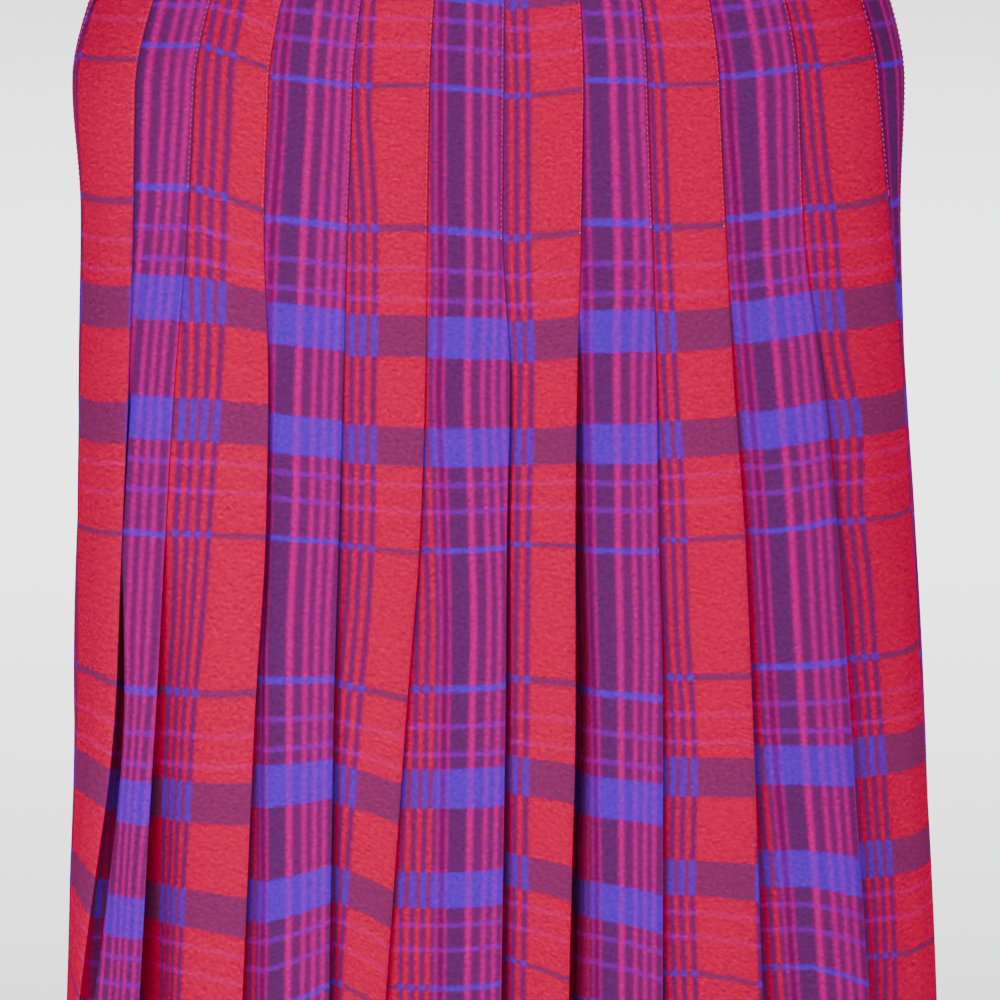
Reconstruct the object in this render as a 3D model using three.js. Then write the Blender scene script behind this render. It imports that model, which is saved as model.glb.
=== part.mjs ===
import * as THREE from 'three';

// A hollow knife-pleated skirt, in millimetres, +Z up, +X to the viewer's right of the front,
// which faces -Y. The origin is the middle of the waist, level with the waistband's upper edge.

// Driving dimensions
const SKIRT_LENGTH = 700;
const BAND_HEIGHT = 35;
const BAND_WALL = 1.2;
const CLOTH = 1.0;
const LAYER_GAP = 0.5;
const SEAM_GAP = 0.3;
const PLEAT_COUNT = 26;
const FRONT_PLEATS = 13;
const CLOTH_PER_PLEAT = 108;
const LARGEST_UNDERLAY = 0.88;
const PLEAT_TOP = -14;
const RELEASE = -244;
const TAB = { sewnLength: 24, freeLength: 36, height: 27, thickness: 2.4, cutCorner: 6, steps: 15 };
const BUTTON = { radius: 8, thickness: 3, rim: 1.1, dish: 1, dishRadius: 5.4, sides: 24 };

const LAYER_STEP = CLOTH + LAYER_GAP;

// The section at each level is a superellipse: squareness 2 is an ellipse, more is boxier. middle
// is how far it hangs to the right of the waist.
const SECTIONS = [
  { z: 0, halfWidth: 134, halfDepth: 76, squareness: 2.3, middle: 0 },
  { z: -36, halfWidth: 134, halfDepth: 76, squareness: 2.3, middle: 0 },
  { z: -80, halfWidth: 172, halfDepth: 80, squareness: 2.5, middle: -1.2 },
  { z: -130, halfWidth: 203, halfDepth: 82, squareness: 2.75, middle: -2.8 },
  { z: -173, halfWidth: 211.5, halfDepth: 82, squareness: 3, middle: -3.5 },
  { z: -244, halfWidth: 208, halfDepth: 82, squareness: 3, middle: -2 },
  { z: -320, halfWidth: 209.5, halfDepth: 84, squareness: 3, middle: -1.2 },
  { z: -400, halfWidth: 213, halfDepth: 87, squareness: 3, middle: -0.2 },
  { z: -490, halfWidth: 215.8, halfDepth: 91, squareness: 3, middle: 1.2 },
  { z: -594, halfWidth: 217.8, halfDepth: 95, squareness: 3, middle: 2.8 },
  { z: -700, halfWidth: 222, halfDepth: 100, squareness: 3, middle: 3.6 },
];

// Levels at which the front folds' places are given.
const FOLD_LEVELS = [-173, -244, -320, -400, -490, -594];

// The front folds from left to right. x: how far right of the middle the fold's edge lies at each
// fold level. lift: how far it stands out at the hem. valley: how deep the cloth sinks beside it
// at the hem, opening from the level opens.
const FRONT_FOLDS = [
  { x: [-187.4, -188.9, -192.5, -196.1, -199.8, -210.2], lift: 3, valley: 26, opens: -330 },
  { x: [-156.0, -160.0, -165.9, -171.8, -179.5, -187.5], lift: 3, valley: 20, opens: -450 },
  { x: [-117.5, -119.8, -117.6, -119.0, -124.3, -128.8], lift: 3, valley: 8, opens: -300 },
  { x: [-73.8, -76.5, -78.6, -80.9, -83.5, -85.2], lift: 2, valley: 8, opens: -300 },
  { x: [-33.8, -35.0, -35.9, -38.6, -45.4, -53.0], lift: 2, valley: 5, opens: -300 },
  { x: [4.7, 4.2, 8.1, 6.4, 5.7, 4.2], lift: 3, valley: 9, opens: -300 },
  { x: [46.3, 45.0, 43.0, 42.1, 42.2, 39.9], lift: 4, valley: 24, opens: -290 },
  { x: [79.5, 81.9, 84.2, 85.4, 87.6, 87.6], lift: 2, valley: 6, opens: -300 },
  { x: [116.9, 120.1, 124.2, 130.0, 133.8, 137.6], lift: 4, valley: 10, opens: -280 },
  { x: [158.1, 160.8, 170.7, 178.0, 184.6, 191.4], lift: 3, valley: 7, opens: -300 },
  { x: [200.2, 204.2, 207.2, 211.0, 214.2, 217.2], lift: 2, valley: 6, opens: -300 },
];

// The folds round the sides and back, as a repeating run of small differences.
const BACK_FOLDS = [
  { shift: 0, lift: 3, valley: 9, opens: -300 },
  { shift: 2.5, lift: 2, valley: 6, opens: -340 },
  { shift: -2, lift: 4, valley: 14, opens: -280 },
  { shift: 1, lift: 3, valley: 7, opens: -320 },
  { shift: -1.5, lift: 2, valley: 10, opens: -360 },
];

// Levels of the panels' rings
const RING_LEVELS = [
  PLEAT_TOP, -BAND_HEIGHT - 1, -62, -92, -130, -175, RELEASE, -320, -400, -490, -594, -SKIRT_LENGTH,
];

const clamp01 = (value) => Math.min(1, Math.max(0, value));
const mix = (from, to, share) => from + (to - from) * share;

function between(levels, z) {
  let row = 0;
  while (row < levels.length - 2 && z < levels[row + 1]) row += 1;
  return { row, share: (levels[row] - z) / (levels[row] - levels[row + 1]) };
}

// A smooth curve down through values given at levels, which never swings past them
function curveThrough(levels, values, z) {
  const { row, share } = between(levels, z);
  const run = (index) => levels[index + 1] - levels[index];
  const slope = (index) => (values[index + 1] - values[index]) / run(index);
  const tangent = (index) => {
    if (index === 0) return slope(0);
    if (index === levels.length - 1) return slope(index - 1);
    const [above, below] = [slope(index - 1), slope(index)];
    return above * below > 0 ? (2 * above * below) / (above + below) : 0;
  };
  if (share > 1) return values[row + 1] + tangent(row + 1) * (z - levels[row + 1]);
  const square = share * share;
  const cube = square * share;
  return values[row] * (2 * cube - 3 * square + 1)
    + values[row + 1] * (3 * square - 2 * cube)
    + tangent(row) * run(row) * (cube - 2 * square + share)
    + tangent(row + 1) * run(row) * (cube - square);
}

const SECTION_LEVELS = SECTIONS.map((section) => section.z);

function sectionAt(z) {
  const column = (name) => SECTIONS.map((section) => section[name]);
  return {
    halfWidth: curveThrough(SECTION_LEVELS, column('halfWidth'), z),
    halfDepth: curveThrough(SECTION_LEVELS, column('halfDepth'), z),
    squareness: curveThrough(SECTION_LEVELS, column('squareness'), z),
    middle: curveThrough(SECTION_LEVELS, column('middle'), z),
  };
}

// The section's outline as points with their distance round it, counterclockwise from the left
// side by way of the front.
const OUTLINE_STEPS = 720;

function outlineAt(z) {
  const { halfWidth, halfDepth, squareness, middle } = sectionAt(z);
  const power = 2 / squareness;
  const points = [];
  let distance = 0;
  for (let step = 0; step <= OUTLINE_STEPS; step += 1) {
    const angle = Math.PI + (2 * Math.PI * step) / OUTLINE_STEPS;
    const cos = Math.cos(angle);
    const sin = Math.sin(angle);
    const x = middle + halfWidth * Math.sign(cos) * Math.abs(cos) ** power;
    const y = halfDepth * Math.sign(sin) * Math.abs(sin) ** power;
    const last = points[points.length - 1];
    if (last) distance += Math.hypot(x - last.x, y - last.y);
    points.push({ x, y, distance });
  }
  return { points, length: distance };
}

function pointRound(outline, distance) {
  const wrapped = ((distance % outline.length) + outline.length) % outline.length;
  let low = 0;
  let high = outline.points.length - 1;
  while (high - low > 1) {
    const middle = (low + high) >> 1;
    if (outline.points[middle].distance <= wrapped) low = middle;
    else high = middle;
  }
  const from = outline.points[low];
  const to = outline.points[high];
  const share = (wrapped - from.distance) / (to.distance - from.distance);
  return new THREE.Vector2(mix(from.x, to.x, share), mix(from.y, to.y, share));
}

// A place on the section's outline moved out from it by height
const NORMAL_REACH = 4;

function placeRound(outline, distance, height) {
  const before = pointRound(outline, distance - NORMAL_REACH);
  const after = pointRound(outline, distance + NORMAL_REACH);
  const along = after.sub(before).normalize();
  const outward = new THREE.Vector2(along.y, -along.x);
  return pointRound(outline, distance).addScaledVector(outward, height);
}

// Distance round the section of each place that a front fold's edge shows at, given as its x. A
// fold stands out from the section, which moves it sideways where the front turns to the sides.
const FOLD_REACH = 4 * LAYER_STEP;

function distancesAtFrontX(outline, places) {
  const front = outline.points.slice(0, OUTLINE_STEPS / 2 + 1).map(({ distance }) => (
    { distance, x: placeRound(outline, distance, FOLD_REACH).x }
  ));
  return places.map((x) => {
    let index = 1;
    while (index < front.length - 1 && front[index].x < x) index += 1;
    const from = front[index - 1];
    const to = front[index];
    return mix(from.distance, to.distance, clamp01((x - from.x) / (to.x - from.x)));
  });
}

// Distance round the section of every fold at a level, from the one left of the first front fold
function foldDistances(z, outline) {
  const level = Math.min(z, FOLD_LEVELS[0]);
  const here = sectionAt(z);
  const given = sectionAt(level);
  const ratio = here.halfWidth / given.halfWidth;
  const front = distancesAtFrontX(outline, FRONT_FOLDS.map((fold) => (
    here.middle + (curveThrough(FOLD_LEVELS, fold.x, level) - given.middle) * ratio
  )));
  const rest = PLEAT_COUNT - front.length + 1;
  const last = front[front.length - 1];
  const step = (front[0] + outline.length - last) / rest;
  const distances = [front[0] - step, ...front];
  for (let fold = 1; fold < rest - 1; fold += 1) {
    const { shift } = BACK_FOLDS[fold % BACK_FOLDS.length];
    distances.push(last + fold * step + shift * clamp01(-z / SKIRT_LENGTH));
  }
  return distances;
}

// How far a fold has opened at a level: 0 down to where it opens, 1 at the hem, soonest at first
const OPENING_EASE = 0.6;

function openingAt(fold, z) {
  const share = clamp01((fold.opens - z) / (fold.opens + SKIRT_LENGTH));
  return share ** OPENING_EASE;
}

const foldRow = (index) => {
  const front = FRONT_FOLDS[index - 1];
  return front || BACK_FOLDS[(index + PLEAT_COUNT) % BACK_FOLDS.length];
};

// The shape of every pleat at a level: where its fold is, how deep its underlay goes, and how far
// it rises, stands out and sinks. An open fold keeps a step clear of the underlay before it.
const LEAST_STEP = 9;

function pleatsAt(z) {
  const outline = outlineAt(z);
  const edges = foldDistances(z, outline);
  const pleats = edges.map((edge, index) => {
    const previous = index ? edges[index - 1] : edges[PLEAT_COUNT - 1] - outline.length;
    const width = edge - previous;
    const fold = foldRow(index);
    const opening = openingAt(fold, z);
    const valley = fold.valley * opening;
    const room = Math.min(LARGEST_UNDERLAY * width, width - LEAST_STEP * opening);
    const underlay = Math.min((CLOTH_PER_PLEAT - width) / 2, room);
    const rise = (2 * LAYER_STEP * underlay) / width;
    return { edge: edge - CLOTH / 2, underlay, rise, lift: fold.lift * opening, valley };
  });
  return { outline, pleats };
}

// The wall of a valley starts a little past the fold before it and ends a little short of the
// underlay's inner edge, more so in a deep valley.
const WALL_FOOT = { perValley: 0.12, most: 2.5 };
const WALL_HEAD = { least: 1, perValley: 0.15, most: 3.5 };
// Shares of the valley that the cloth sinks under a fold, at the wall's foot and in the underlay
const SINK = { hidden: 0.95, foot: 0.7, underlay: 0.45 };
// Shares of the lift that the middles of a face and of its underlay stand out
const LIFT = { face: 0.5, underlay: 0.4 };

// The middle line of one pleat's cloth: from under the fold before it, over its own face to its
// fold, and back beneath as the underlay. Each place has a distance round and a height.
function pleatLine(before, own) {
  const { edge, rise, lift } = own;
  const faceTop = 2 * LAYER_STEP;
  const wallFoot = Math.min(WALL_FOOT.perValley * before.valley, WALL_FOOT.most);
  const wallHead = Math.min(WALL_HEAD.least + WALL_HEAD.perValley * before.valley, WALL_HEAD.most);
  const inner = edge - own.underlay;
  const halfway = edge - own.underlay / 2;
  const midReturn = LAYER_STEP + rise / 2 + LIFT.underlay * lift - SINK.underlay * own.valley;
  return [
    [before.edge - before.underlay, -before.valley],
    [before.edge - before.underlay / 2, before.rise / 2 - SINK.hidden * before.valley],
    [before.edge + wallFoot, before.rise - SINK.foot * before.valley],
    [inner - wallHead, faceTop],
    [halfway, faceTop + rise / 2 + LIFT.face * lift],
    [edge, faceTop + rise + lift],
    [edge, LAYER_STEP + rise + lift],
    [halfway, midReturn],
    [inner, LAYER_STEP - own.valley],
  ];
}

// The middle line of a panel at a level, as points in plan
function panelLine(z, firstPleat, pleatCount) {
  const { outline, pleats } = pleatsAt(z);
  const line = [];
  for (let index = firstPleat; index < firstPleat + pleatCount; index += 1) {
    const turns = index === 0 ? outline.length : 0;
    const before = pleats[(index + PLEAT_COUNT - 1) % PLEAT_COUNT];
    const shifted = { ...before, edge: before.edge - turns };
    line.push(...pleatLine(shifted, pleats[index]));
  }
  const middleOfSeam = (LAYER_STEP - SEAM_GAP) / 2;
  line.unshift([line[0][0], line[0][1] + middleOfSeam]);
  const end = line[line.length - 1];
  line.push([end[0], end[1] - middleOfSeam]);
  return line.map(([distance, height]) => placeRound(outline, distance, height));
}

// Both sides of a wall along an open line, mitred at its corners
const LONGEST_MITRE = 2;

function wallSides(line, thickness) {
  const sides = { outer: [], inner: [] };
  const steps = line.slice(1).map((point, index) => point.clone().sub(line[index]).normalize());
  line.forEach((point, index) => {
    const arriving = steps[Math.max(index - 1, 0)];
    const leaving = steps[Math.min(index, steps.length - 1)];
    const along = arriving.clone().add(leaving).normalize();
    const outward = new THREE.Vector2(along.y, -along.x);
    const reach = (thickness / 2) * Math.min(1 / along.dot(leaving), LONGEST_MITRE);
    sides.outer.push(point.clone().addScaledVector(outward, reach));
    sides.inner.push(point.clone().addScaledVector(outward, -reach));
  });
  return sides;
}

// A closed solid through rings of points. Each ring is a closed loop with the same count. Every
// quad is split the same way as the layer that lies on it, so that no two layers cross.
function solidThroughRings(rings, capFaces) {
  const count = rings[0].length;
  const positions = rings.flat().flatMap((point) => point.toArray());
  const indices = [];
  for (let ring = 0; ring < rings.length - 1; ring += 1) {
    for (let index = 0; index < count; index += 1) {
      const next = (index + 1) % count;
      const upper = ring * count;
      const lower = upper + count;
      const from = rings[ring][index];
      const to = rings[ring][next];
      if (from.x * to.y - from.y * to.x > 0) {
        indices.push(upper + index, lower + index, lower + next);
        indices.push(upper + index, lower + next, upper + next);
      } else {
        indices.push(upper + index, lower + index, upper + next);
        indices.push(upper + next, lower + index, lower + next);
      }
    }
  }
  const last = (rings.length - 1) * count;
  capFaces.forEach(([a, b, c]) => {
    indices.push(a, b, c);
    indices.push(last + c, last + b, last + a);
  });
  const geometry = new THREE.BufferGeometry();
  geometry.setAttribute('position', new THREE.Float32BufferAttribute(positions, 3));
  geometry.setIndex(indices);
  geometry.computeVertexNormals();
  return geometry;
}

// Cap of a loop made of an outer side and the inner side run back
function stripCap(sideCount) {
  const faces = [];
  const total = 2 * sideCount;
  for (let index = 0; index < sideCount - 1; index += 1) {
    const opposite = total - 1 - index;
    faces.push([index, index + 1, opposite - 1]);
    faces.push([index, opposite - 1, opposite]);
  }
  return faces;
}

function panelGeometry(firstPleat, pleatCount) {
  const rings = RING_LEVELS.map((z) => {
    const { outer, inner } = wallSides(panelLine(z, firstPleat, pleatCount), CLOTH);
    return [...outer, ...inner.reverse()].map((point) => new THREE.Vector3(point.x, point.y, z));
  });
  return solidThroughRings(rings, stripCap(rings[0].length / 2));
}

// The waistband is a strip of cloth folded over the pleats' upper edges, so its section is a
// narrow arch. Its ends meet at the opening, where a flat tab crosses from one to the other.
const bandInnerFace = -CLOTH / 2 - SEAM_GAP - BAND_WALL;
const bandOuterFace = (2 + 2 * LARGEST_UNDERLAY) * LAYER_STEP + CLOTH / 2 + SEAM_GAP + BAND_WALL;
const tabInnerFace = bandOuterFace + SEAM_GAP;
const tabOuterFace = tabInnerFace + TAB.thickness;

const ARCH_CORNERS = [
  [bandInnerFace, 0], [bandInnerFace, -BAND_HEIGHT],
  [bandInnerFace + BAND_WALL, -BAND_HEIGHT], [bandInnerFace + BAND_WALL, -BAND_WALL],
  [bandOuterFace - BAND_WALL, -BAND_WALL], [bandOuterFace - BAND_WALL, -BAND_HEIGHT],
  [bandOuterFace, -BAND_HEIGHT], [bandOuterFace, 0],
];
const ARCH_CAP = [[0, 1, 2], [0, 2, 3], [0, 3, 4], [0, 4, 7], [4, 5, 6], [4, 6, 7]];

const bandOutline = outlineAt(-BAND_HEIGHT);

// The opening is in the last underlay of the front, at the wearer's left side.
function openingDistance() {
  const last = pleatsAt(-BAND_HEIGHT).pleats[FRONT_PLEATS - 1];
  return last.edge - last.underlay;
}

function acrossBand(distance, corners) {
  return corners.map(([height, z]) => {
    const place = placeRound(bandOutline, distance, height);
    return new THREE.Vector3(place.x, place.y, z);
  });
}

function bandGeometry() {
  const start = openingDistance();
  const end = start + bandOutline.length;
  const stations = pleatsAt(-BAND_HEIGHT).pleats.flatMap(({ edge, underlay }) => (
    [edge - underlay, edge - underlay / 2, edge]
  )).map((distance) => (distance > start + 1 ? distance : distance + bandOutline.length));
  stations.sort((one, other) => one - other);
  const kept = stations.filter((distance) => distance < end - 1);
  const all = [start + SEAM_GAP, ...kept, end - SEAM_GAP];
  return solidThroughRings(all.map((distance) => acrossBand(distance, ARCH_CORNERS)), ARCH_CAP);
}

// The tab's corners are cut off at its free end.
function tabGeometry() {
  const middle = -BAND_HEIGHT / 2;
  const start = openingDistance() - TAB.sewnLength;
  const length = TAB.sewnLength + TAB.freeLength;
  const sections = [];
  for (let step = 0; step <= TAB.steps; step += 1) {
    const along = (length * step) / TAB.steps;
    const cut = Math.max(0, along - (length - TAB.cutCorner));
    const half = TAB.height / 2 - cut;
    sections.push(acrossBand(start + along, [
      [tabInnerFace, middle + half], [tabInnerFace, middle - half],
      [tabOuterFace, middle - half], [tabOuterFace, middle + half],
    ]));
  }
  return solidThroughRings(sections, [[0, 1, 2], [0, 2, 3]]);
}

function buttonGeometry() {
  const { radius, thickness, rim, dish, dishRadius, sides } = BUTTON;
  const profile = [
    new THREE.Vector2(0, 0), new THREE.Vector2(radius - rim, 0),
    new THREE.Vector2(radius, rim), new THREE.Vector2(radius, thickness - rim / 2),
    new THREE.Vector2(radius - rim, thickness), new THREE.Vector2(dishRadius, thickness),
    new THREE.Vector2(dishRadius - dish, thickness - dish),
    new THREE.Vector2(0, thickness - dish),
  ];
  return new THREE.LatheGeometry(profile, sides);
}

function seatedButton() {
  const distance = openingDistance() + TAB.freeLength / 2;
  const seat = placeRound(bandOutline, distance, tabOuterFace + SEAM_GAP);
  const before = pointRound(bandOutline, distance - NORMAL_REACH);
  const along = pointRound(bandOutline, distance + NORMAL_REACH).sub(before).normalize();
  const outward = new THREE.Vector3(along.y, -along.x, 0);
  const button = named('tab_button', buttonGeometry(), horn);
  button.position.set(seat.x, seat.y, -BAND_HEIGHT / 2);
  button.quaternion.setFromUnitVectors(new THREE.Vector3(0, 1, 0), outward);
  return button;
}

const cloth = new THREE.MeshStandardMaterial({ color: 0xb02a5c, roughness: 0.9, metalness: 0 });
const clothBack = new THREE.MeshStandardMaterial({ color: 0x9c2a63, roughness: 0.9, metalness: 0 });
const bandCloth = new THREE.MeshStandardMaterial({ color: 0xa92b58, roughness: 0.9, metalness: 0 });
const horn = new THREE.MeshStandardMaterial({ color: 0x4a1530, roughness: 0.4, metalness: 0 });

function named(name, geometry, material) {
  const mesh = new THREE.Mesh(geometry, material);
  mesh.name = name;
  return mesh;
}

const skirt = new THREE.Group();
skirt.add(named('front_panel', panelGeometry(0, FRONT_PLEATS), cloth));
skirt.add(named('back_panel', panelGeometry(FRONT_PLEATS, PLEAT_COUNT - FRONT_PLEATS), clothBack));
skirt.add(named('waistband', bandGeometry(), bandCloth));

skirt.add(named('closing_tab', tabGeometry(), bandCloth));
skirt.add(seatedButton());

export default skirt;
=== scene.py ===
"""A hollow knife-pleated skirt in a woven check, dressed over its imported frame.

Lengths are in millimetres where a name ends in _mm or a table says so, and in metres elsewhere.
"""

import math
import bpy
import numpy as np
from bpy.props import FloatProperty, FloatVectorProperty, PointerProperty
from mathutils import Matrix, Vector


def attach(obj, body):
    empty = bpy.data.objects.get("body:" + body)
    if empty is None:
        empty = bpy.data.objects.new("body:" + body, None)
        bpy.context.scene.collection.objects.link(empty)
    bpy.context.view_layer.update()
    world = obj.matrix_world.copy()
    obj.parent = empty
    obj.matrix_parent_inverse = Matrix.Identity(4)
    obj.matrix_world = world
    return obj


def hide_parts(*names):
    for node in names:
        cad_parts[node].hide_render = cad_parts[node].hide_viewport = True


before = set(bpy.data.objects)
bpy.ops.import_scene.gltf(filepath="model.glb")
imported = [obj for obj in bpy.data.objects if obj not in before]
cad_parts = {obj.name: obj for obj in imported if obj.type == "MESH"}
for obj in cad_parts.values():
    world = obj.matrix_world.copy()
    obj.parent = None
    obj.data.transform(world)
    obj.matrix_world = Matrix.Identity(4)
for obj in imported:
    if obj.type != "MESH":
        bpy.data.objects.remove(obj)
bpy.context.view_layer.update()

bl_info = {
    "name": "Pleated Skirt",
    "version": (1, 0, 0),
    "blender": (4, 5, 0),
    "location": "View3D > Sidebar > Skirt",
    "description": "Builds a knife-pleated skirt with its waistband, tab, button and stitches",
    "category": "Add Mesh",
}

MM = 0.001

# ---- Sizes that the CAD frame was built from ----

# The section at each level is a superellipse: squareness 2 is an ellipse, more is boxier.
# Columns: level_mm, half_width_mm, half_depth_mm, squareness, and middle_mm, which is how far it
# hangs to the right of the waist.
SECTIONS = (
    (0, 134, 76, 2.3, 0),
    (-36, 134, 76, 2.3, 0),
    (-80, 172, 80, 2.5, -1.2),
    (-130, 203, 82, 2.75, -2.8),
    (-173, 211.5, 82, 3, -3.5),
    (-244, 208, 82, 3, -2),
    (-320, 209.5, 84, 3, -1.2),
    (-400, 213, 87, 3, -0.2),
    (-490, 215.8, 91, 3, 1.2),
    (-594, 217.8, 95, 3, 2.8),
    (-700, 222, 100, 3, 3.6),
)

# Levels at which the front folds' places are given
FOLD_LEVELS_MM = (-173, -244, -320, -400, -490, -594)

# The front folds from left to right. x_mm: how far right of the middle the fold's edge lies at
# each fold level. lift_mm: how far it stands out at the hem. valley_mm: how deep the cloth sinks
# beside it at the hem, opening from opens_mm down. stitched_mm: where its stitches end.
FRONT_FOLDS = (
    ((-187.4, -188.9, -191.3, -193.8, -197.0, -209.4), 3, 42, -330, -218),
    ((-156.0, -160.0, -166.2, -171.4, -176.0, -182.0), 3, 22, -400, -222),
    ((-117.5, -119.8, -117.6, -119.0, -124.3, -128.8), 3, 8, -300, -231),
    ((-73.8, -76.5, -78.6, -80.9, -83.5, -85.2), 2, 8, -300, -237),
    ((-33.8, -35.0, -35.9, -38.6, -45.4, -53.0), 2, 5, -300, -244),
    ((4.7, 4.2, 8.1, 6.4, 5.7, 4.2), 3, 9, -300, -246),
    ((46.3, 45.0, 43.0, 42.1, 42.2, 39.9), 4, 34, -290, -243),
    ((79.5, 81.9, 84.2, 85.4, 87.6, 87.6), 2, 6, -300, -241),
    ((116.9, 120.1, 124.2, 130.0, 133.8, 137.6), 4, 10, -280, -242),
    ((158.1, 160.8, 170.7, 178.0, 184.6, 191.4), 3, 7, -300, -234),
    ((200.2, 207.5, 213.6, 218.3, 221.9, 225.9), 4, 14, -235, -229),
)

# The folds round the sides and back, as a repeating run of small differences. Each has its
# shift_mm and then the same sizes as a front fold.
BACK_FOLDS = (
    (0, 3, 9, -300, -240),
    (2.5, 2, 6, -340, -243),
    (-2, 4, 14, -280, -238),
    (1, 3, 7, -320, -244),
    (-1.5, 2, 10, -360, -241),
)

# The fold just behind the left side, which lies flat, so that the front's first face hides it
SIDE_FOLD = (0, 0, 4, -340, -243)

# How much less cloth than its share each front fold has before it, at the press levels
PRESS_LEVELS_MM = (-180, -250, -325, -385, -450, -500, -590)
FRONT_PRESSED_MM = (
    (1, 0, 0.5, 1, 1, 1, 3),
    (0.5, -1.5, -3, -2.5, -2, -3.5, -7),
    (17.5, 16.5, 10.5, 6.5, 4, 3, 2),
    (1.5, 1, -0.5, 0, -1, -1, -0.5),
    (3, 7.5, 7.5, 9, 10, 9.5, 9),
    (4, 4.5, -0.5, 3, 5, 4.5, 4),
    (5.5, 7, 10.5, 10, 9, 8.5, 10),
    (5.5, 6.5, 2, 1, 0.5, -1.5, -2),
    (4, 3.5, 3, 2, 1, 2.5, -2),
    (4, 2, -0.5, -1, -2.5, -3, -2),
    (-0.5, -3, -7, -7.5, -2, -0.5, -2.5),
)

# How much cloth each front face takes up for each part of its width, at the press levels:
# less than 1 where the cloth is drawn tight across, and more where it is eased
FRONT_EASE = (
    (0.75, 0.75, 0.72, 0.72, 0.75, 0.8, 0.85),
    (0.84, 0.92, 0.92, 0.88, 0.88, 1.08, 1.16),
    (0.84, 0.84, 0.92, 0.95, 0.96, 0.92, 0.88),
    (0.96, 0.92, 0.96, 0.96, 0.96, 1, 1.04),
    (1, 1, 1, 1, 1, 1, 1),
    (1, 1, 1, 1, 1, 1, 1),
    (1, 1, 1, 1, 1, 1, 1),
    (0.92, 0.86, 0.96, 1, 1, 1.08, 1.12),
    (1.04, 1.04, 1.04, 1.04, 1.04, 1.04, 1.04),
    (0.9, 1, 0.96, 0.96, 0.96, 0.96, 0.98),
    (1, 0.92, 0.83, 0.84, 0.86, 0.9, 0.97),
)

SKIRT_LENGTH_MM = 700
BAND_HEIGHT_MM = 35
BAND_WALL_MM = 1.2
CAD_CLOTH_MM = 1.0
LAYER_STEP_MM = 1.5
PRESSED_LEVELS_MM = (40, 80, 700)
PRESSED_STEPS_MM = (1.5, 0.85, 0.95)
SEAM_GAP_MM = 0.3
PLEAT_COUNT = 26
FRONT_PLEATS = 13
CLOTH_PER_PLEAT_MM = 108
LARGEST_UNDERLAY = 0.88
LEAST_STEP_MM = 9

# Where a fold leaves more than the least step open beside it at the hem, by fold
WIDE_STEPS_MM = {2: 15, 8: 12, 12: 26}
OPENING_CURVE = 0.6

# How far the folds behind the left side are drawn to the back, and over how many folds it fades
SIDE_LEVELS_MM = (60, 200, 480, 700)
SIDE_SHIFTS_MM = (0, 16, 34, 36)
DRAWN_FOLDS = 4

# How much fuller the front's first face stands, by the depth below the waist
SIDE_FACE = 1
SIDE_FOOT_MM = 4
PUFF_LEVELS_MM = (100, 173, 244, 320, 460, 508, 550, 592, 700)
PUFFS_MM = (0, 1.5, 2.5, 3, 3.3, 3.6, 4.6, 7, 9)

PLEAT_TOP_MM = -14
TAB_SEWN_MM = 24
TAB_FREE_MM = 36
TAB_HEIGHT_MM = 27
TAB_THICKNESS_MM = 2.4

# How far each front face's weave hangs below the level weave, at its left and right edges.
DROP_LEVELS_MM = (-235, -295, -410, -535, -585)
LOWEST_DROP_MM = -625
FRONT_DROPS = (
    ((-9.5, -7.5, -3.5, -3.5, -8), (-11.5, -9.5, -4.5, 1.5, 1)),
    ((-19, -14.5, -5.5, 6.5, 9), (-20, -15.5, -5, 6.5, 9)),
    ((-19.5, -14.5, -6, 6, 4), (-9, -10.5, -6, 4.5, 6)),
    ((-4.5, -4.5, -6, -4, -2), (-0.5, -1, -4.5, -10, -12.5)),
    ((-0.5, 1.5, -2, -6, -11), (-1, 1.5, 1.5, 4, 2)),
    ((0, 2.5, 0.5, -3.5, -8.5), (3, 3, -2, -6, -11.5)),
    ((5, 5, -3.5, -12, -21), (1.5, 2, -3, -7, -13)),
    ((-3.5, -0.5, 0, 0.5, -3), (-3, -1.5, 0.5, 4.5, 4)),
    ((-0.5, 0, -5, -10, -15.5), (-1.5, -2.5, -7, -9.5, -12)),
    ((-4.5, -4.5, -9, -15, -18.5), (-8.5, -9, -13.5, -12.5, -11.5)),
    ((-8.5, -9, -11.5, -16, -20), (-12, -11.5, -15.5, -22, -27)),
)
BACK_DROPS_MM = (-6, -3, -8, -2, -5, -9)


# ---- Settings shown in the sidebar ----


def size_setting(name, description, metres):
    """A length property."""
    return FloatProperty(name=name, description=description, default=metres, unit="LENGTH")


def power_setting(name, watts):
    """The power of a light as a property."""
    return FloatProperty(name=name, description="Power in watts", default=watts, min=0)


def colour_setting(name, description, default):
    """A colour property."""
    return FloatVectorProperty(
        name=name, description=description, default=default, min=0, max=1, size=3, subtype="COLOR"
    )


class SkirtShapeSettings(bpy.types.PropertyGroup):
    """Sizes of the pleated cloth."""

    cloth_wall: size_setting("Cloth wall", "Thickness of the cloth", 0.0006)
    row_spacing: size_setting("Row spacing", "Height of one row of faces", 0.0086)
    face_bulge: size_setting("Face bulge", "How far a pleat rounds out at the hem", 0.0022)
    ripple: size_setting("Ripple", "Height of the slow waves in the cloth", 0.0012)


class SkirtSewingSettings(bpy.types.PropertyGroup):
    """Sizes and colours of the stitches and button."""

    stitch_pitch: size_setting("Stitch pitch", "From one stitch to the next", 0.0028)
    stitch_length: size_setting("Stitch length", "Length of one stitch", 0.0017)
    stitch_width: size_setting("Thread width", "Width of the sewing thread", 0.0005)
    edge_inset: size_setting("Edge inset", "From a fold's edge to its stitches", 0.001)
    thread: colour_setting("Thread", "Colour of the edge stitches", (0.62, 0.07, 0.13))
    button: colour_setting("Button", "Colour of the button", (0.06, 0.008, 0.03))


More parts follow.
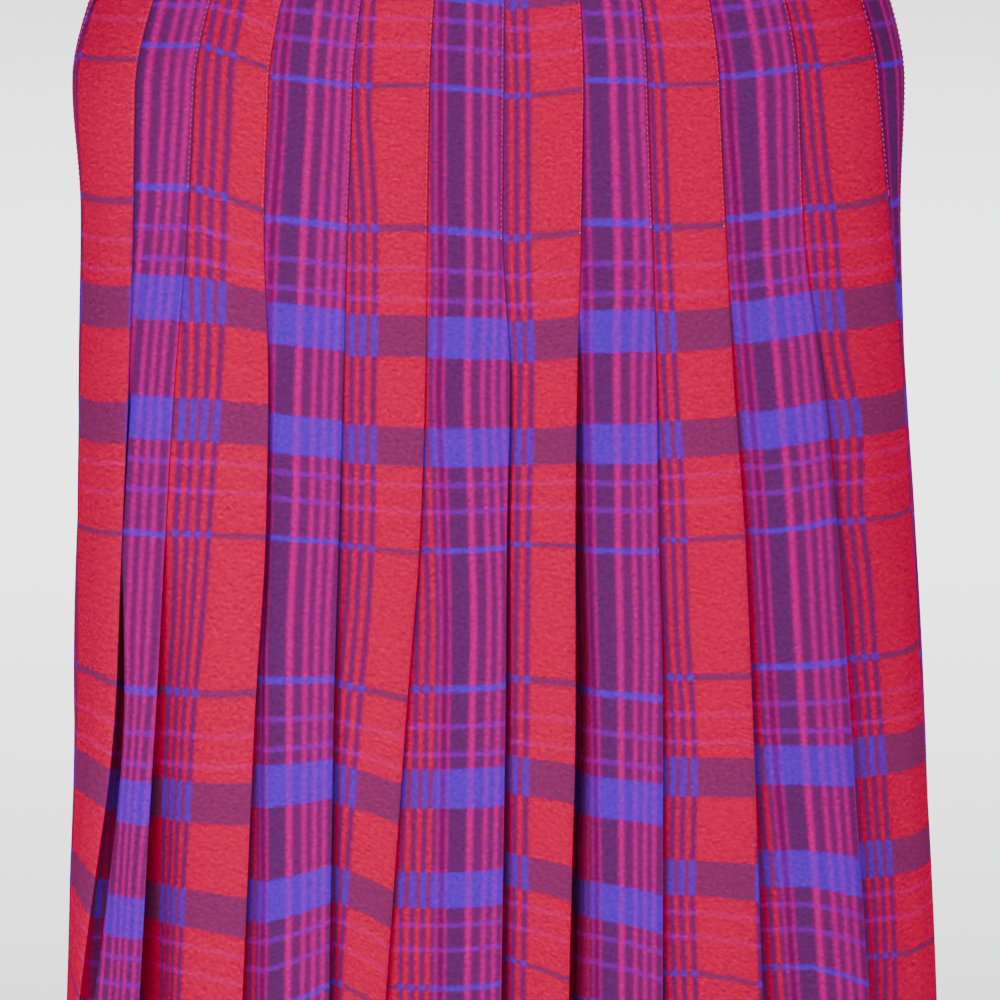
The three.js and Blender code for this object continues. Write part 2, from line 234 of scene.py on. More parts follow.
class SkirtClothSettings(bpy.types.PropertyGroup):
    """Colours and scale of the woven check."""

    red: colour_setting("Red", "Plain red ground", (0.42, 0.0004, 0.041))
    purple: colour_setting("Purple", "Purple ground", (0.105, 0.0105, 0.088))
    magenta: colour_setting("Magenta", "Bright stripe", (0.355, 0.001, 0.14))
    pink: colour_setting("Pink", "Pink stripe", (0.32, 0.003, 0.14))
    crimson: colour_setting("Crimson", "Crimson stripe", (0.115, 0.004, 0.07))
    slate: colour_setting("Slate", "Wide dull stripe", (0.083, 0.0115, 0.088))
    thread_pitch: size_setting("Thread pitch", "From one yarn to the next", 0.00055)


class SkirtStageSettings(bpy.types.PropertyGroup):
    """Camera, light and floor."""

    view_width: size_setting("View width", "Width seen at the front of the skirt", 0.52)
    view_distance: size_setting("View distance", "Camera to the front", 10.0)
    view_lift: FloatProperty(
        name="View lift", description="Angle above the horizon", default=math.radians(8),
        subtype="ANGLE",
    )
    key_power: power_setting("Key light", 25.0)
    fill_power: power_setting("Fill light", 30.0)
    floor_power: power_setting("Floor light", 500.0)
    surround: FloatProperty(name="Surround", description="Strength of the room", default=0.62)
    floor: colour_setting("Floor", "Colour of the floor", (0.85, 0.85, 0.85))


# ---- The skirt's form ----

FLAT_SLOPE = 1e-9


def soft_slopes(slope):
    """Slopes at a curve's points, so that it never swings past them, along the last axis."""
    before, after = slope[..., :-1], slope[..., 1:]
    total = np.where(np.abs(before + after) < FLAT_SLOPE, 1, before + after)
    middle = np.where(before * after > 0, 2 * before * after / total, 0)
    return np.concatenate([slope[..., :1], middle, slope[..., -1:]], axis=-1)


def blend(start, end, start_slope, end_slope, run, share):
    """A smooth curve between two values, at a share of the run from one to the other."""
    square, cube = share**2, share**3
    return (
        start * (2 * cube - 3 * square + 1)
        + end * (3 * square - 2 * cube)
        + start_slope * run * (cube - 2 * square + share)
        + end_slope * run * (cube - square)
    )


def curve_through(levels, values, place):
    """A smooth curve down through values given at levels, and straight on below them."""
    levels, values = np.asarray(levels, float), np.asarray(values, float)
    run = np.diff(levels)
    slopes = soft_slopes(np.diff(values) / run)
    row = int(np.clip(np.searchsorted(-levels, -place, side="left") - 1, 0, len(run) - 1))
    share = (place - levels[row]) / run[row]
    held = min(share, 1)
    pair = slice(row, row + 2)
    on_curve = blend(*values[pair], *slopes[pair], run[row], held)
    return float(on_curve + slopes[row + 1] * (share - held) * run[row])


def smooth_through(values, chords, steps):
    """Runs of values (count, knots) made finer, with so many steps between each two knots."""
    slopes = soft_slopes(np.diff(values, axis=1) / chords)
    fine = []
    for knot, count in enumerate(steps):
        near, far = slice(knot, knot + 1), slice(knot + 1, knot + 2)
        ends = (values[:, near], values[:, far], slopes[:, near], slopes[:, far])
        fine.append(blend(*ends, chords[:, near], np.arange(count) / count))
    return np.concatenate([*fine, values[:, -1:]], axis=1)


def section_at(level):
    """Half width, half depth, squareness and middle of the skirt at a level."""
    levels, *measures = zip(*SECTIONS)
    return [curve_through(levels, measure, level) for measure in measures]


OUTLINE_STEPS = 720
NORMAL_REACH_MM = 4.0
FOLD_REACH_MM = 4 * LAYER_STEP_MM


class Outline:
    """The section at a level, measured counterclockwise from the left side by the front."""

    def __init__(self, level):
        half_width, half_depth, squareness, middle = section_at(level)
        power = 2 / squareness
        angle = math.pi + np.linspace(0, 2 * math.pi, OUTLINE_STEPS + 1)
        cos, sin = np.cos(angle), np.sin(angle)
        self.x = middle + half_width * np.sign(cos) * np.abs(cos) ** power
        self.y = half_depth * np.sign(sin) * np.abs(sin) ** power
        steps = np.hypot(np.diff(self.x), np.diff(self.y))
        self.distance = np.concatenate([[0], np.cumsum(steps)])
        self.length = float(self.distance[-1])
        half = OUTLINE_STEPS // 2 + 1
        self.front = self.distance[:half]
        self.front_x = self.place(self.front, np.full(half, FOLD_REACH_MM))[:, 0]

    def point(self, distance):
        """Places on the outline, as x and y."""
        wrapped = np.mod(distance, self.length)
        places = [np.interp(wrapped, self.distance, axis) for axis in (self.x, self.y)]
        return np.stack(places, axis=-1)

    def along(self, distance):
        """The direction round the outline."""
        step = self.point(distance + NORMAL_REACH_MM) - self.point(distance - NORMAL_REACH_MM)
        return step / np.linalg.norm(step, axis=-1, keepdims=True)

    def outward(self, distance):
        """The direction out of the outline."""
        along = self.along(distance)
        return np.stack([along[..., 1], -along[..., 0]], axis=-1)

    def place(self, distance, height):
        """Places moved out from the outline by height."""
        return self.point(distance) + self.outward(distance) * np.asarray(height)[..., None]

    def front_distances(self, places):
        """Distance round to each place that a front fold's edge shows at, given as its x."""
        return np.interp(places, self.front_x, self.front)


def fold_sizes(index):
    """A fold's lift, valley, opening level and last stitch, counted from the left side's fold."""
    if index == 0:
        return SIDE_FOLD[1:]
    if index <= len(FRONT_FOLDS):
        return FRONT_FOLDS[index - 1][1:]
    return BACK_FOLDS[(index + PLEAT_COUNT) % len(BACK_FOLDS)][1:]


def fold_edges(level, outline):
    """Distance round of every fold's edge at a level."""
    table_level = min(level, FOLD_LEVELS_MM[0])
    half_width, _, _, middle = section_at(level)
    given_width, _, _, given_middle = section_at(table_level)
    places = np.array([curve_through(FOLD_LEVELS_MM, row[0], table_level) for row in FRONT_FOLDS])
    shown = middle + (places - given_middle) * half_width / given_width
    front = outline.front_distances(shown)
    rest = PLEAT_COUNT - len(front) + 1
    step = (front[0] + outline.length - front[-1]) / rest
    turned = float(np.interp(-level, SIDE_LEVELS_MM, SIDE_SHIFTS_MM))
    edges = [front[0] - step - turned, *front]
    for fold in range(1, rest - 1):
        shift = BACK_FOLDS[fold % len(BACK_FOLDS)][0] * min(1, -level / SKIRT_LENGTH_MM)
        drawn = turned * max(0, 1 - (rest - 1 - fold) / DRAWN_FOLDS)
        edges.append(front[-1] + fold * step + shift - drawn)
    return np.array(edges)


def layer_step(level):
    """From one layer of cloth to the next: loose under the waistband and pressed flat below."""
    return float(np.interp(-level, PRESSED_LEVELS_MM, PRESSED_STEPS_MM))


def pleats_at(level, outline):
    """Every pleat's fold edge, underlay, rise, lift and valley at a level, as arrays.

    Its opening is 0 down to where the fold opens and 1 at the hem.
    """
    edges = fold_edges(level, outline)
    width = edges - np.concatenate([[edges[-1] - outline.length], edges[:-1]])
    lift, valley, opens, _ = np.array([fold_sizes(index) for index in range(PLEAT_COUNT)]).T
    opening = np.clip((opens - level) / (opens + SKIRT_LENGTH_MM), 0, 1) ** OPENING_CURVE
    step = np.array([WIDE_STEPS_MM.get(index, LEAST_STEP_MM) for index in range(PLEAT_COUNT)])
    room = np.minimum(LARGEST_UNDERLAY * width, width - step * opening)
    underlay = np.minimum((CLOTH_PER_PLEAT_MM - width) / 2, room)
    return {
        "edge": edges,
        "underlay": underlay,
        "rise": 2 * layer_step(level) * underlay / width,
        "lift": lift * opening,
        "valley": valley * opening,
        "opening": opening,
    }


FACE_STEPS = (3, 3, 4, 6, 7)
RETURN_STEPS = (3, 3)
TURN_STEPS = 4
TURN_REACH_MM = 0.3
FACE_POINTS = sum(FACE_STEPS) + 1
RETURN_POINTS = sum(RETURN_STEPS) + 1
FIRST_SHOWING = sum(FACE_STEPS[:3])
PLEAT_POINTS = FACE_POINTS + (TURN_STEPS - 1) + RETURN_POINTS + (TURN_STEPS - 1)

# How far the cloth between two faces leans at its foot and its head, by the valley's depth
FOOT_SHARE, FOOT_LIMIT_MM = 0.12, 2.5
DEEP_VALLEY_MM, DEEP_SHARE = 20, 0.35
HEAD_MM, HEAD_SHARE, HEAD_LIMIT_MM = 1, 0.15, 3.5

# Where that cloth lies in the valley: the middle of its floor, its foot, and the fold's underside
FLOOR_SINK, FOOT_SINK, UNDER_SINK = 0.95, 0.7, 0.45
FACE_LIFT, UNDER_LIFT, FACE_PUFF = 0.5, 0.4, 0.4
BULGE_CURVE, FLAT_BULGE = 0.8, 0.25


def half_turn(start, end, outward, reach):
    """Points of a half turn from start to end, without its ends, bulging outward."""
    angle = np.pi * np.arange(1, TURN_STEPS) / TURN_STEPS
    middle = (start + end) / 2
    arm = (start - end) / 2
    return middle[:, None] + arm[:, None] * np.cos(angle) + outward * reach * np.sin(angle)


def fine_run(rounds, outs, steps):
    """A run's knots, given as columns, made into smooth lines of distance round and height."""
    rounds, outs = np.stack(rounds, axis=1), np.stack(outs, axis=1)
    chords = np.hypot(np.diff(rounds, axis=1), np.diff(outs, axis=1))
    return smooth_through(rounds, chords, steps), smooth_through(outs, chords, steps)


def pleat_run(level, outline, first, count, settings):
    """The middle line of a run of pleats: distance round, height out, and cloth along and down."""
    pleats = pleats_at(level, outline)
    own = np.arange(first, first + count)
    here = {name: values[own] for name, values in pleats.items()}
    last = {name: values[(own - 1) % PLEAT_COUNT] for name, values in pleats.items()}
    last_edge = last["edge"] - np.where(own == 0, outline.length, 0)
    edge, lift, rise = here["edge"], here["lift"], here["rise"]
    step = layer_step(level)
    base = FOLD_REACH_MM * (1 - step / LAYER_STEP_MM)
    tuck = TURN_REACH_MM + settings.cloth_wall / MM / 2
    foot = np.minimum(FOOT_SHARE * last["valley"], FOOT_LIMIT_MM)
    foot = foot - DEEP_SHARE * np.maximum(last["valley"] - DEEP_VALLEY_MM, 0)
    foot = np.where(own == SIDE_FACE, SIDE_FOOT_MM, foot)
    puff = np.where(own == SIDE_FACE, np.interp(-level, PUFF_LEVELS_MM, PUFFS_MM), 0)
    head = np.minimum(HEAD_MM + HEAD_SHARE * last["valley"], HEAD_LIMIT_MM)
    top = base + 2 * step
    under = base + step
    inner = edge - here["underlay"]
    face_round, face_out = fine_run(
        (
            last_edge - last["underlay"],
            last_edge - last["underlay"] / 2,
            last_edge + foot,
            inner - head,
            edge - here["underlay"] / 2,
            edge - tuck,
        ),
        (
            base - last["valley"],
            base + last["rise"] / 2 - FLOOR_SINK * last["valley"],
            base + last["rise"] - FOOT_SINK * last["valley"] + puff,
            top + FACE_PUFF * puff,
            top + rise / 2 + FACE_LIFT * lift,
            top + rise + lift,
        ),
        FACE_STEPS,
    )
    showing = np.zeros(FACE_POINTS)
    across = np.linspace(0, np.pi, FACE_POINTS - FIRST_SHOWING)
    showing[FIRST_SHOWING:] = np.sin(across) ** BULGE_CURVE
    bulge = settings.face_bulge / MM * (FLAT_BULGE + (1 - FLAT_BULGE) * here["opening"])
    face_out += bulge[:, None] * showing
    back_round, back_out = fine_run(
        (edge - tuck, edge - here["underlay"] / 2, inner),
        (
            under + rise + lift,
            under + rise / 2 + UNDER_LIFT * lift - UNDER_SINK * here["valley"],
            under - here["valley"],
        ),
        RETURN_STEPS,
    )
    fold_round = half_turn(face_round[:, -1], back_round[:, 0], 1, TURN_REACH_MM)
    fold_out = half_turn(face_out[:, -1], back_out[:, 0], 0, 0)
    inner_round = half_turn(back_round[:, -1], back_round[:, -1], -1, step / 2)
    inner_out = half_turn(back_out[:, -1], back_out[:, -1] - step, 0, 0)
    rounds = np.concatenate([face_round, fold_round, back_round, inner_round], axis=1)
    outs = np.concatenate([face_out, fold_out, back_out, inner_out], axis=1)
    cloth = cloth_along(rounds, outs, own, level)
    drop = drop_across(level, own)
    return rounds.ravel(), outs.ravel(), cloth.ravel(), drop.ravel()


def at_press_level(table, index, level, usual):
    """A front face's value from a table by press level, or the usual value elsewhere."""
    row = index % PLEAT_COUNT - 1
    if not 0 <= row < len(table):
        return usual
    held = max(min(level, PRESS_LEVELS_MM[0]), PRESS_LEVELS_MM[-1])
    return curve_through(PRESS_LEVELS_MM, table[row], held)


def cloth_at_fold(index, level):
    """Place along the cloth, in mm, at which a fold is pressed."""
    return (index + 1) * CLOTH_PER_PLEAT_MM - at_press_level(FRONT_PRESSED_MM, index, level, 0.0)


def cloth_along(rounds, outs, own, level):
    """Place along the cloth at each point, in mm. The part that hides takes up what is left."""
    steps = np.hypot(np.diff(rounds, axis=1), np.diff(outs, axis=1))
    run = np.concatenate([np.zeros((len(own), 1)), np.cumsum(steps, axis=1)], axis=1)
    fold_at = run[:, FACE_POINTS - 1 : FACE_POINTS]
    indices = range(own[0], own[-1] + 2)
    folds = np.array([cloth_at_fold(index, level) for index in indices])
    ease = np.array([at_press_level(FRONT_EASE, index, level, 1.0) for index in indices])
    cloth = folds[:-1, None] + (run - fold_at) * ease[:-1, None]
    next_start = folds[1:] - np.append(fold_at[1:, 0], fold_at[-1, 0]) * ease[1:]
    back = run[:, FACE_POINTS - 1 :] - fold_at
    whole = back[:, -1] + back[:, -1] / (back.shape[1] - 1)
    stretch = (next_start - folds[:-1]) / whole
    cloth[:, FACE_POINTS - 1 :] = folds[:-1, None] + back * stretch[:, None]
    return cloth


def drops_at(index, level):
    """How far the weave of a pleat's face hangs low at its left and right edges."""
    if not 1 <= index <= len(FRONT_DROPS):
        value = BACK_DROPS_MM[index % len(BACK_DROPS_MM)]
        return value, value
    held = max(min(level, DROP_LEVELS_MM[0]), LOWEST_DROP_MM)
    return tuple(curve_through(DROP_LEVELS_MM, edge, held) for edge in FRONT_DROPS[index - 1])


def drop_across(level, own):
    """The weave's drop at each point of each pleat."""
    drops = [drops_at(index % PLEAT_COUNT, level) for index in range(own[0], own[-1] + 2)]
    face, hidden = FACE_POINTS - FIRST_SHOWING, PLEAT_POINTS - FACE_POINTS
    return np.array([
        np.concatenate([
            np.full(FIRST_SHOWING, left),
            np.linspace(left, right, face),
            np.linspace(right, following, hidden + 1)[1:],
        ])
        for (left, right), (following, _) in zip(drops, drops[1:])
    ])


WAVE_LENGTHS_MM = (46, 71, 118, 190)
WAVE_SEED = 7
WAVES_START_MM = -190
WAVES_GROW_MM = 250
STITCHED_WAVES = 0.12
WAVES_LEVELLED = 3


def wave_height(level, rounds, settings):
    """Small uneven waves that grow below the stitched part, the same on every layer."""
    dice = np.random.default_rng(WAVE_SEED)
    total = np.zeros_like(rounds)
    for length in WAVE_LENGTHS_MM:
        tilt = dice.uniform(-0.5, 0.5)
        phase = dice.uniform(0, 2 * np.pi)
        total += np.sin(2 * np.pi * (rounds / length + tilt * level / length) + phase)
    grown = np.clip((WAVES_START_MM - level) / WAVES_GROW_MM, 0, 1)
    share = STITCHED_WAVES + (1 - STITCHED_WAVES) * grown
    return total / WAVES_LEVELLED * settings.ripple / MM * share


def standing(outline, distance, height, level):
    """A place on the skirt and the way out of it there, as x, y and z."""
    distance = np.array(distance)
    plan = outline.place(distance, np.array(height))
    return np.array([*plan, level]), np.array([*outline.outward(distance), 0.0])


# ---- Mesh helpers ----


def deselect_all():
    """Leaves nothing selected."""
    if bpy.context.object and bpy.context.object.mode != "OBJECT":
        bpy.ops.object.mode_set(mode="OBJECT")
    for item in bpy.context.selected_objects:
        item.select_set(False)


def pick_only(piece):
    """Selects one object and makes it active."""
    deselect_all()
    piece.select_set(True)
    bpy.context.view_layer.objects.active = piece


def new_piece(name, vertices, faces, uvs=None):
    """A mesh object at the origin from vertices in mm, with a UV for every vertex."""
    mesh = bpy.data.meshes.new(name)
    mesh.from_pydata((np.asarray(vertices) * MM).tolist(), [], faces)
    mesh.update()
    if uvs is not None:
        layer = mesh.uv_layers.new(name="cloth")
        corners = np.empty(len(mesh.loops), dtype=np.int32)
        mesh.loops.foreach_get("vertex_index", corners)
        layer.data.foreach_set("uv", (np.asarray(uvs)[corners] * MM).astype(np.float32).ravel())
    piece = bpy.data.objects.new(name, mesh)
    bpy.context.collection.objects.link(piece)
    return piece


def shape_with(piece, kind, **values):
    """Gives a piece a modifier with its settings, and applies it."""
    pick_only(piece)
    modifier = piece.modifiers.new(kind, kind)
    for name, value in values.items():
        setattr(modifier, name, value)
    bpy.ops.object.modifier_apply(modifier=modifier.name)


def new_sheet(name, rows, wall, turned=False):
    """A sheet from rows of places in mm and rows of cloth in mm, with its wall in metres."""
    places, cloth = zip(*rows)
    columns = len(places[0])
    corner = np.arange((len(rows) - 1) * columns).reshape(-1, columns)[:, :-1]
    quads = np.stack([corner, corner + columns, corner + columns + 1, corner + 1], axis=-1)
    faces = quads.reshape(-1, 4)[:, :: -1 if turned else 1].tolist()
    piece = new_piece(name, np.concatenate(places), faces, np.concatenate(cloth))
    shape_with(
        piece, "SOLIDIFY", thickness=wall, offset=0, use_even_offset=True, thickness_clamp=1.2
    )
    return piece


def finish_piece(piece, material):
    """Gives a piece its material, body and smooth shading."""
    piece.data.materials.clear()
    piece.data.materials.append(material)
    piece.data.polygons.foreach_set("use_smooth", [True] * len(piece.data.polygons))
    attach(piece, "root")


# ---- Materials ----


class NodeSketch:
    """Short ways to add and join nodes in one tree."""

    def __init__(self, tree):
        self.tree = tree

    def add(self, kind, **values):
        """A node with its settings, and its named inputs set or joined."""
        node = self.tree.nodes.new(kind)
        for name, value in values.items():
            if hasattr(node, name):
                setattr(node, name, value)
            else:
                self.feed(node.inputs[name], value)
        return node

    def feed(self, socket, value):
        """Joins an output to a socket, or sets the socket's own value."""
        if hasattr(value, "is_output"):
            self.tree.links.new(value, socket)
        else:
            socket.default_value = value

    def math(self, operation, first, second=0.0, third=0.0):
        """A Math node's result."""
        node = self.add("ShaderNodeMath", operation=operation)
        for socket, value in zip(node.inputs, (first, second, third)):
            self.feed(socket, value)
        return node.outputs[0]

    def mix(self, share, first, second, mode="MIX"):
        """A colour Mix node's result."""
        node = self.add("ShaderNodeMix", data_type="RGBA", blend_type=mode)
        for name, value in (("Factor", share), ("A", first), ("B", second)):
            self.feed(node.inputs[name], value)
        return node.outputs["Result"]

    def ramp(self, factor, stops):
        """A stepped Color Ramp with (place, colour) stops."""
        node = self.add("ShaderNodeValToRGB", Fac=factor)
        ramp = node.color_ramp
        ramp.interpolation = "CONSTANT"
        while len(ramp.elements) < len(stops):
            ramp.elements.new(1.0)
        for element, (place, colour) in zip(ramp.elements, stops):
            element.position = place
            element.color = (*colour, 1)
        return node.outputs["Color"]

    def relief(self, shader, height, strength, distance):
        """Gives a shader the relief of a height, with its distance in metres."""
        bump = self.add("ShaderNodeBump", Strength=strength, Distance=distance, Height=height)
        self.feed(shader.inputs["Normal"], bump.outputs["Normal"])


def new_material(name, **values):
    """A material's sketch and shader, with the shader's own sockets set."""
    material = bpy.data.materials.new(name)
    material.use_nodes = True
    shader = material.node_tree.nodes["Principled BSDF"]
    for socket, value in values.items():
        shader.inputs[socket.replace("_", " ")].default_value = value
    return material, NodeSketch(material.node_tree), shader


def new_group(name, inputs, outputs):
    """A shader group's sketch, source and sink, with named sockets and the inputs' defaults."""
    group = bpy.data.node_groups.new(name, "ShaderNodeTree")
    for label, kind, default in inputs:
        socket = group.interface.new_socket(name=label, in_out="INPUT", socket_type=kind)
        if default is not None:
            socket.default_value = default
    for label, kind in outputs:
        group.interface.new_socket(name=label, in_out="OUTPUT", socket_type=kind)
    sketch = NodeSketch(group)
    return sketch, sketch.add("NodeGroupInput").outputs, sketch.add("NodeGroupOutput").inputs


# Warp stripes of the two pleats of one repeat, from left to right: yarn and width in mm.
# The first pleat's cloth ends at a purple fold and the second's at a red one.
PURPLE_PLEAT = (
    ("purple", 3.2), ("red", 2.4), ("purple", 3.0), ("red", 2.4), ("purple", 3.0), ("red", 35.4),
    ("purple", 2.8), ("red", 2.8), ("purple", 2.8), ("red", 2.8), ("purple", 2.8), ("red", 2.6),
    ("purple", 2.6), ("pink", 1.3), ("crimson", 3.1), ("pink", 1.3), ("slate", 10.2),
    ("magenta", 3.3), ("purple", 5.2), ("pink", 2.6), ("purple", 2.9), ("pink", 2.6),
    ("purple", 2.6), ("pink", 2.4), ("purple", 1.9),
)
RED_PLEAT = (
    ("purple", 1.9), ("pink", 2.4), ("purple", 2.6), ("pink", 2.6), ("purple", 5.0),
    ("magenta", 3.3), ("slate", 10.2), ("pink", 1.3), ("crimson", 3.1), ("pink", 1.3),
    ("purple", 2.6), ("red", 18.7),
    ("purple", 3.4), ("red", 2.4), ("purple", 3.0), ("red", 2.7), ("purple", 3.0), ("red", 2.7),
    ("purple", 2.9), ("red", 2.7), ("red", 30.2),
)

# How far the yarns stray from their stripes, which softens the stripes' edges
STRAY_SCALE = 3600.0
WARP_STRAY = 0.0075
WEFT_STRAY = 0.005

# Weft lines of one repeat from top to bottom: kind and height in mm
WEFT_REPEAT_MM = 242.0
WEFT_START_MM = 239.5
WEFT = (
    ("violet", 3.2), ("ground", 17.4), ("line", 3.0), ("ground", 11.8), ("line", 3.0),
    ("ground", 6.9), ("violet", 21.6), ("ground", 36.4), ("violet", 21.3), ("ground", 8.1),
    ("line", 3.0), ("ground", 11.3), ("line", 3.0), ("ground", 17.8), ("violet", 3.2),
    ("ground", 71.0),
)
WEFT_CODES = {"ground": 0.0, "line": 0.5, "violet": 1.0}
LINE_FROM, VIOLET_FROM = 0.25, 0.75

# Each warp yarn's number, and its colour where the violet and the pink weft cross it
YARNS = {
    "red": (0.0, (0.155, 0.016, 0.08), (0.435, 0.0004, 0.075)),
    "purple": (0.2, (0.074, 0.0006, 0.38), (0.135, 0.0015, 0.25)),
    "magenta": (0.4, (0.165, 0.0006, 0.38), (0.34, 0.001, 0.19)),
    "pink": (0.6, (0.15, 0.0006, 0.4), (0.265, 0.0015, 0.2)),
    "crimson": (0.8, (0.095, 0.0008, 0.22), (0.17, 0.001, 0.15)),
    "slate": (1.0, (0.076, 0.0008, 0.4), (0.12, 0.003, 0.235)),
}
HALF_YARN_STEP = 0.1


def stripe_stops(stripes, total, codes):
    """Color Ramp stops of a run of (name, width) stripes, by each name's code."""
    stops = []
    place = 0.0
    for name, width in stripes:
        value = codes[name]
        if not stops or stops[-1][1][0] != value:
            stops.append((place / total, (value, value, value)))
        place += width
    return stops


def build_check_group(settings):
    """The woven check: colour and thread relief from cloth coordinates in metres."""
    inputs = (
        ("Cloth", "NodeSocketVector", None),
        ("Thread Pitch", "NodeSocketFloat", settings.thread_pitch),
        ("Unevenness", "NodeSocketFloat", 0.5),
    )
    outputs = (("Color", "NodeSocketColor"), ("Height", "NodeSocketFloat"))
    sketch, source, sink = new_group("woven_check", inputs, outputs)
    cloth = source["Cloth"]
    wander = sketch.add(
        "ShaderNodeTexNoise", noise_dimensions="3D", Vector=cloth, Scale=STRAY_SCALE, Detail=1.0
    )
    parts = sketch.add("ShaderNodeSeparateXYZ", Vector=cloth)
    strays = sketch.add("ShaderNodeSeparateColor", Color=wander.outputs["Color"])
    moved = []
    for axis, stray, reach in (("X", "Red", WARP_STRAY), ("Y", "Green", WEFT_STRAY)):
        centred = sketch.math("SUBTRACT", strays.outputs[stray], 0.5)
        moved.append(sketch.math("MULTIPLY_ADD", centred, reach, parts.outputs[axis]))
    along, down = moved
    repeat = 2 * CLOTH_PER_PLEAT_MM * MM
    warp = sketch.math("FRACT", sketch.math("DIVIDE", along, repeat))
    half = sketch.math("FRACT", sketch.math("MULTIPLY", warp, 2.0))
    codes = {name: values[0] for name, values in YARNS.items()}
    pleats = [
        sketch.ramp(half, stripe_stops(stripes, CLOTH_PER_PLEAT_MM, codes))
        for stripes in (PURPLE_PLEAT, RED_PLEAT)
    ]
    code = sketch.mix(sketch.math("GREATER_THAN", warp, 0.5), *pleats)
    grounds = {name: (None, tuple(getattr(settings, name))) for name in YARNS}
    on_ground, on_violet, on_line = (
        sketch.ramp(code, [(max(0.0, codes[name] - HALF_YARN_STEP), table[name][item])
                           for name in YARNS])
        for table, item in ((grounds, 1), (YARNS, 1), (YARNS, 2))
    )
    shifted = sketch.math("SUBTRACT", down, WEFT_START_MM * MM)
    weft = sketch.math("FRACT", sketch.math("DIVIDE", shifted, WEFT_REPEAT_MM * MM))
    kinds = sketch.ramp(weft, stripe_stops(WEFT, WEFT_REPEAT_MM, WEFT_CODES))
    colour = sketch.mix(sketch.math("GREATER_THAN", kinds, LINE_FROM), on_ground, on_line)
    colour = sketch.mix(sketch.math("GREATER_THAN", kinds, VIOLET_FROM), colour, on_violet)
    toned, height = add_thread_relief(sketch, source, along, down, colour)
    sketch.feed(sink["Color"], toned)
    sketch.feed(sink["Height"], height)
    return sketch.tree


# Flecks to a metre across and along a yarn, and how strongly they and the weave show
FLECKS_ACROSS = 1800.0
FLECKS_ALONG = 1100.0
FLECK_TINT = 12.0
GREEN_TINT = 5.0
WEAVE_TINT = 0.05
FLECK_HEIGHT = 0.1
WEAVE_HEIGHT = 0.5


def add_thread_relief(sketch, source, along, down, colour):
    """Flecks of both yarns, and the over and under of a plain weave."""
    flecks, waves = [], []
    turns = sketch.math("DIVIDE", math.pi, source["Thread Pitch"])
    for across, lengthwise in ((along, down), (down, along)):
        place = sketch.add(
            "ShaderNodeCombineXYZ",
            X=sketch.math("MULTIPLY", across, FLECKS_ACROSS),
            Y=sketch.math("MULTIPLY", lengthwise, FLECKS_ALONG),
        )
        noise = sketch.add(
            "ShaderNodeTexNoise", noise_dimensions="2D", Vector=place.outputs[0], Scale=1.0,
            Detail=1.0,
        )
        fleck = sketch.math("SUBTRACT", noise.outputs["Fac"], 0.5)
        flecks.append(sketch.math("MULTIPLY", fleck, source["Unevenness"]))
        waves.append(sketch.math("SINE", sketch.math("MULTIPLY", across, turns)))
    over = sketch.math("MULTIPLY", *waves)
    plain = sketch.math("MULTIPLY_ADD", over, WEAVE_TINT, 1.0)
    warp, weft = flecks
    both = sketch.math("ADD", warp, weft)
    tint = sketch.add(
        "ShaderNodeCombineColor",
        Red=sketch.math("MULTIPLY_ADD", warp, FLECK_TINT, plain),
        Green=sketch.math("MULTIPLY_ADD", both, GREEN_TINT, plain),
        Blue=sketch.math("MULTIPLY_ADD", weft, FLECK_TINT, plain),
    )
    toned = sketch.mix(1.0, colour, tint.outputs[0], "MULTIPLY")
    weave = sketch.math("MULTIPLY", over, WEAVE_HEIGHT)
    return toned, sketch.math("MULTIPLY_ADD", both, FLECK_HEIGHT, weave)


def cloth_material(name, settings):
    """Matt woven cloth that reads the piece's own cloth coordinates."""
    material, sketch, shader = new_material(name, Roughness=0.86, Specular_IOR_Level=0.0)
    uv = sketch.add("ShaderNodeUVMap", uv_map="cloth")
    check = sketch.add("ShaderNodeGroup", node_tree=build_check_group(settings))
    sketch.feed(check.inputs["Cloth"], uv.outputs["UV"])
    sketch.feed(shader.inputs["Base Color"], check.outputs["Color"])
    sketch.relief(shader, check.outputs["Height"], strength=0.35, distance=0.00012)
    return material


# How dark the thread's twist is, and how light and how rough the button's clouds are
TWIST_DARK = 0.7
CLOUD_LIGHT, CLOUD_LEAST = 2.4, 0.01
CLOUD_ROUGH, BUTTON_ROUGH = 0.2, 0.28


def clouds(sketch, scale, **values):
    """Noise on the piece's own place."""
    place = sketch.add("ShaderNodeTexCoord")
    noise = sketch.add(
        "ShaderNodeTexNoise", Vector=place.outputs["Object"], Scale=scale, **values
    )
    return noise.outputs["Fac"]


def thread_material(name, colour):
    """Dull sewing thread with a twist."""
    material, sketch, shader = new_material(name, Roughness=0.7, Specular_IOR_Level=0.1)
    twist = clouds(sketch, 1800.0)
    dark = tuple(channel * TWIST_DARK for channel in colour)
    sketch.feed(shader.inputs["Base Color"], sketch.mix(twist, (*dark, 1), (*colour, 1)))
    sketch.relief(shader, twist, strength=1.0, distance=0.0001)
    return material


def button_material(name, colour):
    """Moulded button with faint clouding."""
    material, sketch, shader = new_material(name, Coat_Weight=0.25)
    cloud = clouds(sketch, 240.0, Distortion=1.2)
    light = tuple(min(1.0, channel * CLOUD_LIGHT + CLOUD_LEAST) for channel in colour)
    sketch.feed(shader.inputs["Base Color"], sketch.mix(cloud, (*colour, 1), (*light, 1)))
    rough = sketch.math("MULTIPLY_ADD", cloud, CLOUD_ROUGH, BUTTON_ROUGH)
    sketch.feed(shader.inputs["Roughness"], rough)
    return material


def shared(name, build, settings):
    """A material by name, built the first time it is asked for."""
    return bpy.data.materials.get(name) or build(name, settings)


